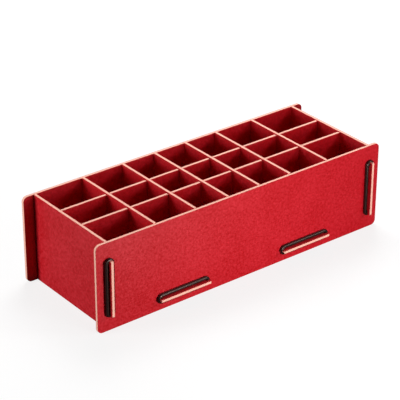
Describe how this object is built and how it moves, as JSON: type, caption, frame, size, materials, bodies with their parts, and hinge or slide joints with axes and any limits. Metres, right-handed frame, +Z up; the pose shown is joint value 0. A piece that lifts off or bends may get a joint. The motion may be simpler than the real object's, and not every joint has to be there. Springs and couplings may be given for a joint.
{
  "type": "pencil box",
  "caption": "Open desk box of thin boards on hooked tabs locked by rubber rings, with a lift-out divider grid that makes compartments for pencils and craft parts.",
  "frame": {"origin": "on the floor, under the middle of the box", "axes": "+X along the box, towards its right end seen from the front; +Y to the back; +Z up"},
  "size_m": [0.3, 0.117, 0.0805],
  "materials": {
    "red_board": "satin red faces on thin fibreboard, with raw pale cut edges",
    "rubber_ring": "matt dark brown-black rubber cord"
  },
  "bodies": {
    "box": {"front_panel": "red_board", "back_panel": "red_board", "left_end_panel": "red_board", "right_end_panel": "red_board", "base_panel": "red_board", "front_left_end_ring": "rubber_ring", "front_left_base_ring": "rubber_ring", "front_right_end_ring": "rubber_ring", "front_right_base_ring": "rubber_ring", "back_left_end_ring": "rubber_ring", "back_left_base_ring": "rubber_ring", "back_right_end_ring": "rubber_ring", "back_right_base_ring": "rubber_ring"},
    "long_dividers": {"front_long_divider": "red_board", "rear_long_divider": "red_board"},
    "cross_divider_1": {"cross_divider_1": "red_board"},
    "cross_divider_2": {"cross_divider_2": "red_board"},
    "cross_divider_3": {"cross_divider_3": "red_board"},
    "cross_divider_4": {"cross_divider_4": "red_board"},
    "cross_divider_5": {"cross_divider_5": "red_board"},
    "cross_divider_6": {"cross_divider_6": "red_board"}
  },
  "joints": [
    {"name": "long_dividers_lift", "type": "slide", "parent": "box", "child": "long_dividers", "axis": [0, 0, 1], "range_m": [0, 0.09]},
    {"name": "cross_divider_1_lift", "type": "slide", "parent": "long_dividers", "child": "cross_divider_1", "axis": [0, 0, 1], "range_m": [0, 0.09]},
    {"name": "cross_divider_2_lift", "type": "slide", "parent": "long_dividers", "child": "cross_divider_2", "axis": [0, 0, 1], "range_m": [0, 0.09]},
    {"name": "cross_divider_3_lift", "type": "slide", "parent": "long_dividers", "child": "cross_divider_3", "axis": [0, 0, 1], "range_m": [0, 0.09]},
    {"name": "cross_divider_4_lift", "type": "slide", "parent": "long_dividers", "child": "cross_divider_4", "axis": [0, 0, 1], "range_m": [0, 0.09]},
    {"name": "cross_divider_5_lift", "type": "slide", "parent": "long_dividers", "child": "cross_divider_5", "axis": [0, 0, 1], "range_m": [0, 0.09]},
    {"name": "cross_divider_6_lift", "type": "slide", "parent": "long_dividers", "child": "cross_divider_6", "axis": [0, 0, 1], "range_m": [0, 0.09]}
  ]
}
